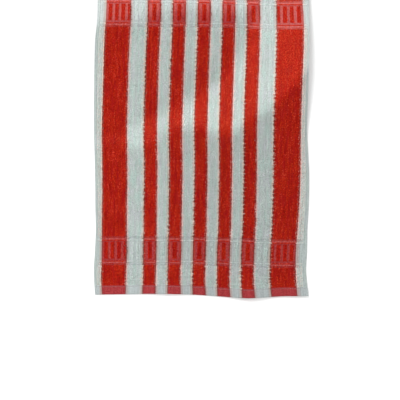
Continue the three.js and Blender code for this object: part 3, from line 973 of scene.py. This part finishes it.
stitching = {
    "pitch": 3.2,
    "length": 1.5,
    "thread": 0.18,
    "threadSides": 5,
    "sink": 0.26,
    "wander": 0.12,
    # a stitch's parts: their share of its half length and of its rise, and how much thicker they get
    "shape": [(0.25, 1.0, 1.3), (0.75, 0.25, 1.1), (0.75, -0.25, 0.9), (0.25, -1.0, 0.77)],
    "colour": (0.540, 0.490, 0.470, 1),
    "shadeColour": (0.440, 0.390, 0.370, 1),
    "shadeFrom": (0.3, 0.7),
    "scale": 900.0,
    "plyDepth": 0.00006,
    "roughness": 0.6,
    "unevenRoughness": 0.2,
    "finish": {"shine": 0.15, "sheen": 0.05, "sheenRoughness": 0.6, "sheenTint": (1.0, 0.7, 0.7, 1)},
}


# one stitch: a thread that rises out of the cloth, lies on it and dips back
def modelStitch():
    half, sink = stitching["length"] / 2, stitching["sink"]
    stitch = startModel(stitching["threadSides"], stitching["thread"])
    bpy.ops.transform.rotate(value=math.pi / 2, orient_axis="Y", center_override=(0, 0, 0))
    bpy.ops.transform.translate(value=(-half, 0, -sink))
    for run, rise, thicker in stitching["shape"]:
        step = (run * half, 0, rise * sink)
        bpy.ops.mesh.extrude_region_move(TRANSFORM_OT_translate={"value": step})
        bpy.ops.transform.resize(value=(1, thicker, thicker))
    bpy.ops.mesh.select_all(action="SELECT")
    bpy.ops.mesh.normals_make_consistent(inside=False)
    return takeModel(stitch)


def stitchMaterial():
    material, tree = newMaterial("hemThread")
    place = addNode(tree, "TexCoord").outputs["Object"]
    uneven = {"Vector": place, "Scale": stitching["scale"], "Detail": 3.0}
    noise = addNode(tree, "TexNoise", uneven).outputs[0]
    twist = {"Vector": place, "Scale": stitching["scale"], "Distortion": 1.0}
    ply = addNode(tree, "TexWave", twist, bands_direction="DIAGONAL").outputs[1]
    light = fade(tree, noise, *stitching["shadeFrom"])
    colour = mixColours(tree, light, stitching["shadeColour"], stitching["colour"])
    bump = addNode(tree, "Bump", {"Height": ply, "Distance": stitching["plyDepth"]}).outputs[0]
    roughness = calc(tree, "MULTIPLY_ADD", noise, stitching["unevenRoughness"], stitching["roughness"])
    finishMaterial(tree, colour, bump, roughness, stitching["finish"])
    return material


def sewHems():
    corners, faces = modelStitch()
    runs = np.arange(stitching["pitch"], cloth["width"] - cloth["edgeRound"], stitching["pitch"])
    across = np.concatenate([runs, runs])
    along = np.repeat([cloth["seamAt"], cloth["length"] - cloth["seamAt"]], len(runs))
    along = along + chance.uniform(-1, 1, len(along)) * stitching["wander"]
    x, y = placeOf(across, along)
    nextX, nextY = placeOf(across + 1, along)
    heading = np.arctan2(nextY - y, nextX - x)[:, None]
    dx, dy = turned(corners[:, 0], corners[:, 1], heading)
    points = setOnCloth(x, y, cloth["seam"], dx, dy, corners[:, 2])
    allFaces = [[v + n * len(corners) for v in face] for n in range(len(across)) for face in faces]
    piece = newPiece("hemStitches", points, allFaces, stitchMaterial())
    print("hems sewn,", len(across), "stitches,", len(allFaces), "faces")
    return piece


stitches = sewHems()

for piece in [woven, stitches] + pilePieces:
    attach(piece, "root")
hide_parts("towel")


stage = {
    "floorSize": 40.0,
    "floorBelow": 0.0003,
    "floorColour": (0.93, 0.93, 0.93, 1),
    "floorRoughness": 0.9,
    "floorFinish": {"shine": 0.0, "sheen": 0.0, "sheenRoughness": 0.6, "sheenTint": (1, 1, 1, 1)},
    "worldColour": (1, 1, 1, 1),
    "worldLight": 1.02,
    "sunHeight": 38,
    "sunWidth": 30,
    "sunPower": 1.75,
    "sunDistance": 2,
    "lens": 150.0,
    "sensor": 36.0,
    "frameWidth": 749.4,  # what the picture shows of the cloth's plane, in millimetres, and its middle
    "frameMiddle": (-2.81, -128.1),
    "frameHeight": 0.003,  # the height of that plane
    "farClip": 100.0,
}

bpy.ops.mesh.primitive_plane_add(size=stage["floorSize"], location=(0, 0, -stage["floorBelow"]))
floor = bpy.context.object
floor.name = "floor"
floorMaterial, tree = newMaterial("paleFloor")
finishMaterial(tree, stage["floorColour"], None, stage["floorRoughness"], stage["floorFinish"])
floor.data.materials.append(floorMaterial)

world = bpy.data.worlds.new("softLight")
world.use_nodes = True
world.node_tree.nodes["Background"].inputs[0].default_value = stage["worldColour"]
world.node_tree.nodes["Background"].inputs[1].default_value = stage["worldLight"]
bpy.context.scene.world = world

height = math.radians(stage["sunHeight"])
toSun = Vector((lightFrom[0] * math.cos(height), lightFrom[1] * math.cos(height), math.sin(height)))
sunPlace = toSun * stage["sunDistance"]
bpy.ops.object.light_add(type="SUN", location=sunPlace, rotation=toSun.to_track_quat("Z", "Y").to_euler())
sun = bpy.context.object
sun.name = "keyLamp"
sun.data.energy = stage["sunPower"]
sun.data.angle = math.radians(stage["sunWidth"])

cameraHeight = stage["frameWidth"] * mm * stage["lens"] / stage["sensor"] + stage["frameHeight"]
middleX, middleY = stage["frameMiddle"]
cameraPlace = ((middleX + shiftX) * mm, (middleY + shiftY) * mm, cameraHeight)
bpy.ops.object.camera_add(location=cameraPlace, rotation=(0, 0, 0))
camera = bpy.context.object
camera.data.lens = stage["lens"]
camera.data.sensor_width = stage["sensor"]
camera.data.clip_end = stage["farClip"]
bpy.context.scene.camera = camera
bpy.context.scene.view_settings.view_transform = "Standard"
print("floor, light and camera set")
